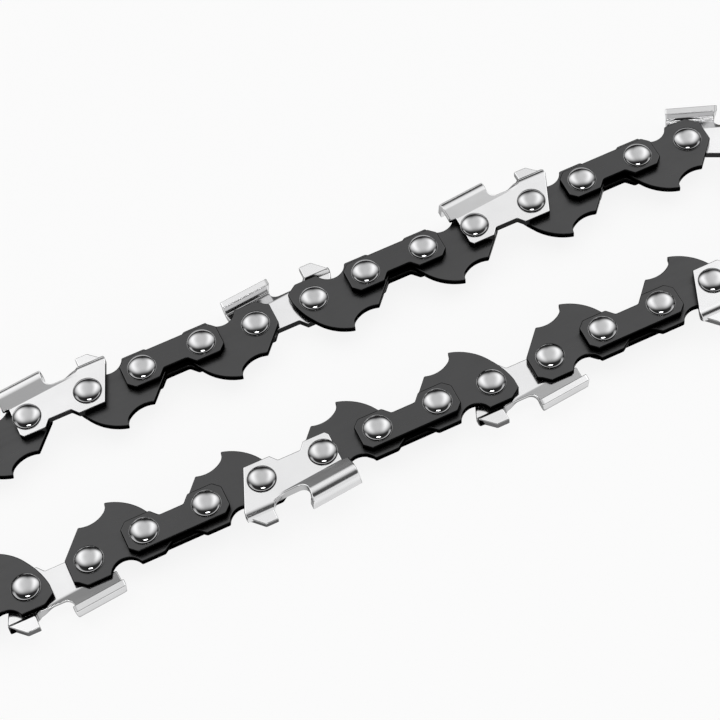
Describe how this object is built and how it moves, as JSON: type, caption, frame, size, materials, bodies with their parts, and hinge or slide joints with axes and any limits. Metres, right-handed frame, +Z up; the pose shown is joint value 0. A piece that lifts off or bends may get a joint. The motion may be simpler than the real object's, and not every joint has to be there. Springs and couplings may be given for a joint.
{
  "type": "chainsaw chain loop",
  "caption": "Closed loop of low-profile saw chain: drive links with tangs, riveted tie straps, and right- and left-hand cutters with depth gauges, lying on its side.",
  "frame": {"origin": "on the floor, under the middle of the loop's box", "axes": "+Z up, along the rivets, with the right-hand cutters' side plates on top; +X along the straight runs; +Y across them"},
  "size_m": [0.1808, 0.0398, 0.0054],
  "materials": {
    "drive_link_steel": "satin black",
    "strap_steel": "satin black",
    "cutter_chrome": "bright satin",
    "rivet_steel": "polished"
  },
  "bodies": {
    "side_01": {"left_cutter_01": "cutter_chrome", "rivets_01": "rivet_steel"},
    "drive_01": {"drive_link_01": "drive_link_steel"},
    "side_02": {"tie_straps_02": "strap_steel", "rivets_02": "rivet_steel"},
    "drive_02": {"drive_link_02": "drive_link_steel"},
    "side_03": {"right_cutter_03": "cutter_chrome", "rivets_03": "rivet_steel"},
    "drive_03": {"drive_link_03": "drive_link_steel"},
    "side_04": {"tie_straps_04": "strap_steel", "rivets_04": "rivet_steel"},
    "drive_04": {"drive_link_04": "drive_link_steel"},
    "side_05": {"left_cutter_05": "cutter_chrome", "rivets_05": "rivet_steel"},
    "drive_05": {"drive_link_05": "drive_link_steel"},
    "side_06": {"tie_straps_06": "strap_steel", "rivets_06": "rivet_steel"},
    "drive_06": {"drive_link_06": "drive_link_steel"},
    "side_07": {"right_cutter_07": "cutter_chrome", "rivets_07": "rivet_steel"},
    "drive_07": {"drive_link_07": "drive_link_steel"},
    "side_08": {"tie_straps_08": "strap_steel", "rivets_08": "rivet_steel"},
    "drive_08": {"drive_link_08": "drive_link_steel"},
    "side_09": {"left_cutter_09": "cutter_chrome", "rivets_09": "rivet_steel"},
    "drive_09": {"drive_link_09": "drive_link_steel"},
    "side_10": {"tie_straps_10": "strap_steel", "rivets_10": "rivet_steel"},
    "drive_10": {"drive_link_10": "drive_link_steel"},
    "side_11": {"right_cutter_11": "cutter_chrome", "rivets_11": "rivet_steel"},
    "drive_11": {"drive_link_11": "drive_link_steel"},
    "side_12": {"tie_straps_12": "strap_steel", "rivets_12": "rivet_steel"},
    "drive_12": {"drive_link_12": "drive_link_steel"},
    "side_13": {"left_cutter_13": "cutter_chrome", "rivets_13": "rivet_steel"},
    "drive_13": {"drive_link_13": "drive_link_steel"},
    "side_14": {"tie_straps_14": "strap_steel", "rivets_14": "rivet_steel"},
    "drive_14": {"drive_link_14": "drive_link_steel"},
    "side_15": {"right_cutter_15": "cutter_chrome", "rivets_15": "rivet_steel"},
    "drive_15": {"drive_link_15": "drive_link_steel"},
    "side_16": {"tie_straps_16": "strap_steel", "rivets_16": "rivet_steel"},
    "drive_16": {"drive_link_16": "drive_link_steel"},
    "side_17": {"left_cutter_17": "cutter_chrome", "rivets_17": "rivet_steel"},
    "drive_17": {"drive_link_17": "drive_link_steel"},
    "side_18": {"tie_straps_18": "strap_steel", "rivets_18": "rivet_steel"},
    "drive_18": {"drive_link_18": "drive_link_steel"},
    "side_19": {"right_cutter_19": "cutter_chrome", "rivets_19": "rivet_steel"},
    "drive_19": {"drive_link_19": "drive_link_steel"},
    "side_20": {"tie_straps_20": "strap_steel", "rivets_20": "rivet_steel"},
    "drive_20": {"drive_link_20": "drive_link_steel"}
  },
  "joints": [
    {"name": "pivot_01", "type": "hinge", "parent": "side_01", "child": "drive_01", "pos_m": [0.0099, 0.0129, 0.0027], "axis": [0, 0, 1], "range_deg": [-9, 0.36]},
    {"name": "pivot_02", "type": "hinge", "parent": "drive_01", "child": "side_02", "pos_m": [0.01874, 0.0129, 0.0027], "axis": [0, 0, 1], "range_deg": [-9.02, 0.38]},
    {"name": "pivot_03", "type": "hinge", "parent": "side_02", "child": "drive_02", "pos_m": [0.02854, 0.0129, 0.0027], "axis": [0, 0, 1], "range_deg": [-9.02, 0.38]},
    {"name": "pivot_04", "type": "hinge", "parent": "drive_02", "child": "side_03", "pos_m": [0.03738, 0.0129, 0.0027], "axis": [0, 0, 1], "range_deg": [-9.02, 0.38]},
    {"name": "pivot_05", "type": "hinge", "parent": "side_03", "child": "drive_03", "pos_m": [0.04718, 0.0129, 0.0027], "axis": [0, 0, 1], "range_deg": [-9.02, 0.38]},
    {"name": "pivot_06", "type": "hinge", "parent": "drive_03", "child": "side_04", "pos_m": [0.05602, 0.0129, 0.0027], "axis": [0, 0, 1], "range_deg": [-9.02, 0.38]},
    {"name": "pivot_07", "type": "hinge", "parent": "side_04", "child": "drive_04", "pos_m": [0.06582, 0.0129, 0.0027], "axis": [0, 0, 1], "range_deg": [-8.6, 0.36]},
    {"name": "pivot_08", "type": "hinge", "parent": "drive_04", "child": "side_05", "pos_m": [0.07466, 0.01284, 0.0027], "axis": [0, 0, 1], "range_deg": [-0.77, 18.65]},
    {"name": "pivot_09", "type": "hinge", "parent": "side_05", "child": "drive_05", "pos_m": [0.08331, 0.00823, 0.0027], "axis": [0, 0, 1], "range_deg": [-1.35, 33.38]},
    {"name": "pivot_10", "type": "hinge", "parent": "drive_05", "child": "side_06", "pos_m": [0.08627, -0.0001, 0.0027], "axis": [0, 0, 1], "range_deg": [-1.35, 33.38]},
    {"name": "pivot_11", "type": "hinge", "parent": "side_06", "child": "drive_06", "pos_m": [0.08248, -0.00914, 0.0027], "axis": [0, 0, 1], "range_deg": [-1.35, 33.38]},
    {"name": "pivot_12", "type": "hinge", "parent": "drive_06", "child": "side_07", "pos_m": [0.07446, -0.01285, 0.0027], "axis": [0, 0, 1], "range_deg": [-0.64, 15.62]},
    {"name": "pivot_13", "type": "hinge", "parent": "side_07", "child": "drive_07", "pos_m": [0.06466, -0.0129, 0.0027], "axis": [0, 0, 1], "range_deg": [-8.75, 0.37]},
    {"name": "pivot_14", "type": "hinge", "parent": "drive_07", "child": "side_08", "pos_m": [0.05582, -0.0129, 0.0027], "axis": [0, 0, 1], "range_deg": [-9.02, 0.38]},
    {"name": "pivot_15", "type": "hinge", "parent": "side_08", "child": "drive_08", "pos_m": [0.04602, -0.0129, 0.0027], "axis": [0, 0, 1], "range_deg": [-9.02, 0.38]},
    {"name": "pivot_16", "type": "hinge", "parent": "drive_08", "child": "side_09", "pos_m": [0.03718, -0.0129, 0.0027], "axis": [0, 0, 1], "range_deg": [-9.02, 0.38]},
    {"name": "pivot_17", "type": "hinge", "parent": "side_09", "child": "drive_09", "pos_m": [0.02738, -0.0129, 0.0027], "axis": [0, 0, 1], "range_deg": [-9.02, 0.38]},
    {"name": "pivot_18", "type": "hinge", "parent": "drive_09", "child": "side_10", "pos_m": [0.01854, -0.0129, 0.0027], "axis": [0, 0, 1], "range_deg": [-9.02, 0.38]},
    {"name": "pivot_19", "type": "hinge", "parent": "side_10", "child": "drive_10", "pos_m": [0.00874, -0.0129, 0.0027], "axis": [0, 0, 1], "range_deg": [-9.02, 0.38]},
    {"name": "pivot_20", "type": "hinge", "parent": "drive_10", "child": "side_11", "pos_m": [-0.0001, -0.0129, 0.0027], "axis": [0, 0, 1], "range_deg": [-9.02, 0.38]},
    {"name": "pivot_00", "type": "hinge", "parent": "side_01", "child": "drive_20", "pos_m": [0.0001, 0.0129, 0.0027], "axis": [0, 0, 1], "range_deg": [-0.38, 9.02]},
    {"name": "pivot_39", "type": "hinge", "parent": "drive_20", "child": "side_20", "pos_m": [-0.00874, 0.0129, 0.0027], "axis": [0, 0, 1], "range_deg": [-0.38, 9.02]},
    {"name": "pivot_38", "type": "hinge", "parent": "side_20", "child": "drive_19", "pos_m": [-0.01854, 0.0129, 0.0027], "axis": [0, 0, 1], "range_deg": [-0.38, 9.02]},
    {"name": "pivot_37", "type": "hinge", "parent": "drive_19", "child": "side_19", "pos_m": [-0.02738, 0.0129, 0.0027], "axis": [0, 0, 1], "range_deg": [-0.38, 9.02]},
    {"name": "pivot_36", "type": "hinge", "parent": "side_19", "child": "drive_18", "pos_m": [-0.03718, 0.0129, 0.0027], "axis": [0, 0, 1], "range_deg": [-0.38, 9.02]},
    {"name": "pivot_35", "type": "hinge", "parent": "drive_18", "child": "side_18", "pos_m": [-0.04602, 0.0129, 0.0027], "axis": [0, 0, 1], "range_deg": [-0.38, 9.02]},
    {"name": "pivot_34", "type": "hinge", "parent": "side_18", "child": "drive_17", "pos_m": [-0.05582, 0.0129, 0.0027], "axis": [0, 0, 1], "range_deg": [-0.38, 9.02]},
    {"name": "pivot_33", "type": "hinge", "parent": "drive_17", "child": "side_17", "pos_m": [-0.06466, 0.0129, 0.0027], "axis": [0, 0, 1], "range_deg": [-0.37, 8.75]},
    {"name": "pivot_32", "type": "hinge", "parent": "side_17", "child": "drive_16", "pos_m": [-0.07446, 0.01285, 0.0027], "axis": [0, 0, 1], "range_deg": [-15.62, 0.64]},
    {"name": "pivot_31", "type": "hinge", "parent": "drive_16", "child": "side_16", "pos_m": [-0.08248, 0.00914, 0.0027], "axis": [0, 0, 1], "range_deg": [-33.38, 1.35]},
    {"name": "pivot_30", "type": "hinge", "parent": "side_16", "child": "drive_15", "pos_m": [-0.08627, 0.0001, 0.0027], "axis": [0, 0, 1], "range_deg": [-33.38, 1.35]},
    {"name": "pivot_29", "type": "hinge", "parent": "drive_15", "child": "side_15", "pos_m": [-0.08331, -0.00823, 0.0027], "axis": [0, 0, 1], "range_deg": [-33.38, 1.35]},
    {"name": "pivot_28", "type": "hinge", "parent": "side_15", "child": "drive_14", "pos_m": [-0.07466, -0.01284, 0.0027], "axis": [0, 0, 1], "range_deg": [-18.65, 0.77]},
    {"name": "pivot_27", "type": "hinge", "parent": "drive_14", "child": "side_14", "pos_m": [-0.06582, -0.0129, 0.0027], "axis": [0, 0, 1], "range_deg": [-0.36, 8.6]},
    {"name": "pivot_26", "type": "hinge", "parent": "side_14", "child": "drive_13", "pos_m": [-0.05602, -0.0129, 0.0027], "axis": [0, 0, 1], "range_deg": [-0.38, 9.02]},
    {"name": "pivot_25", "type": "hinge", "parent": "drive_13", "child": "side_13", "pos_m": [-0.04718, -0.0129, 0.0027], "axis": [0, 0, 1], "range_deg": [-0.38, 9.02]},
    {"name": "pivot_24", "type": "hinge", "parent": "side_13", "child": "drive_12", "pos_m": [-0.03738, -0.0129, 0.0027], "axis": [0, 0, 1], "range_deg": [-0.38, 9.02]},
    {"name": "pivot_23", "type": "hinge", "parent": "drive_12", "child": "side_12", "pos_m": [-0.02854, -0.0129, 0.0027], "axis": [0, 0, 1], "range_deg": [-0.38, 9.02]},
    {"name": "pivot_22", "type": "hinge", "parent": "side_12", "child": "drive_11", "pos_m": [-0.01874, -0.0129, 0.0027], "axis": [0, 0, 1], "range_deg": [-0.38, 9.02]}
  ],
  "couplings": [
    {"joint": "pivot_02", "follows": "pivot_01", "ratio": 1},
    {"joint": "pivot_03", "follows": "pivot_01", "ratio": 1},
    {"joint": "pivot_04", "follows": "pivot_01", "ratio": 1},
    {"joint": "pivot_05", "follows": "pivot_01", "ratio": 1},
    {"joint": "pivot_06", "follows": "pivot_01", "ratio": 1},
    {"joint": "pivot_07", "follows": "pivot_01", "ratio": 0.9537},
    {"joint": "pivot_08", "follows": "pivot_01", "ratio": -2.07},
    {"joint": "pivot_09", "follows": "pivot_01", "ratio": -3.7068},
    {"joint": "pivot_10", "follows": "pivot_01", "ratio": -3.7068},
    {"joint": "pivot_11", "follows": "pivot_01", "ratio": -3.7068},
    {"joint": "pivot_12", "follows": "pivot_01", "ratio": -1.7334},
    {"joint": "pivot_13", "follows": "pivot_01", "ratio": 0.97023},
    {"joint": "pivot_14", "follows": "pivot_01", "ratio": 1},
    {"joint": "pivot_15", "follows": "pivot_01", "ratio": 1},
    {"joint": "pivot_16", "follows": "pivot_01", "ratio": 1},
    {"joint": "pivot_17", "follows": "pivot_01", "ratio": 1},
    {"joint": "pivot_18", "follows": "pivot_01", "ratio": 1},
    {"joint": "pivot_19", "follows": "pivot_01", "ratio": 1},
    {"joint": "pivot_20", "follows": "pivot_01", "ratio": 1},
    {"joint": "pivot_00", "follows": "pivot_01", "ratio": -1},
    {"joint": "pivot_39", "follows": "pivot_01", "ratio": -1},
    {"joint": "pivot_38", "follows": "pivot_01", "ratio": -1},
    {"joint": "pivot_37", "follows": "pivot_01", "ratio": -1},
    {"joint": "pivot_36", "follows": "pivot_01", "ratio": -1},
    {"joint": "pivot_35", "follows": "pivot_01", "ratio": -1},
    {"joint": "pivot_34", "follows": "pivot_01", "ratio": -1},
    {"joint": "pivot_33", "follows": "pivot_01", "ratio": -0.97023},
    {"joint": "pivot_32", "follows": "pivot_01", "ratio": 1.7334},
    {"joint": "pivot_31", "follows": "pivot_01", "ratio": 3.7068},
    {"joint": "pivot_30", "follows": "pivot_01", "ratio": 3.7068},
    {"joint": "pivot_29", "follows": "pivot_01", "ratio": 3.7068},
    {"joint": "pivot_28", "follows": "pivot_01", "ratio": 2.07},
    {"joint": "pivot_27", "follows": "pivot_01", "ratio": -0.9537},
    {"joint": "pivot_26", "follows": "pivot_01", "ratio": -1},
    {"joint": "pivot_25", "follows": "pivot_01", "ratio": -1},
    {"joint": "pivot_24", "follows": "pivot_01", "ratio": -1},
    {"joint": "pivot_23", "follows": "pivot_01", "ratio": -1},
    {"joint": "pivot_22", "follows": "pivot_01", "ratio": -1}
  ]
}
